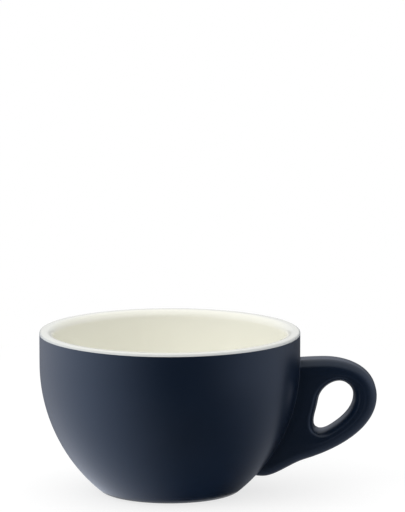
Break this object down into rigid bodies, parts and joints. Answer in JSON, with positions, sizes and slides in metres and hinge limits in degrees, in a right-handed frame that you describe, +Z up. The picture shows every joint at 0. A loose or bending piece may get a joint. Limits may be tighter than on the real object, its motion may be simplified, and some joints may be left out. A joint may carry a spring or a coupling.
{
  "type": "cappuccino cup",
  "caption": "Thick-walled round cappuccino cup, gloss cream inside and matt navy outside, with a small ear handle pierced by a teardrop finger hole.",
  "frame": {"origin": "middle of the footprint of bowl and handle together, on the plane that the foot ring stands on", "axes": "+X from the bowl towards the handle, +Z up through the mouth"},
  "size_m": [0.1229, 0.095, 0.0595],
  "materials": {
    "bisque": "bare fired clay, matt",
    "slip": "fired slip, matt",
    "cream_glaze": "gloss cream-white glaze",
    "navy_glaze": "matt navy glaze with a soft sheen"
  },
  "bodies": {
    "root": {"bowl": "bisque", "handle": "bisque", "handle_slip_joint": "slip", "inside_glaze": "cream_glaze", "outside_glaze": "navy_glaze", "handle_glaze": "navy_glaze", "underside_glaze": "navy_glaze"}
  },
  "joints": []
}
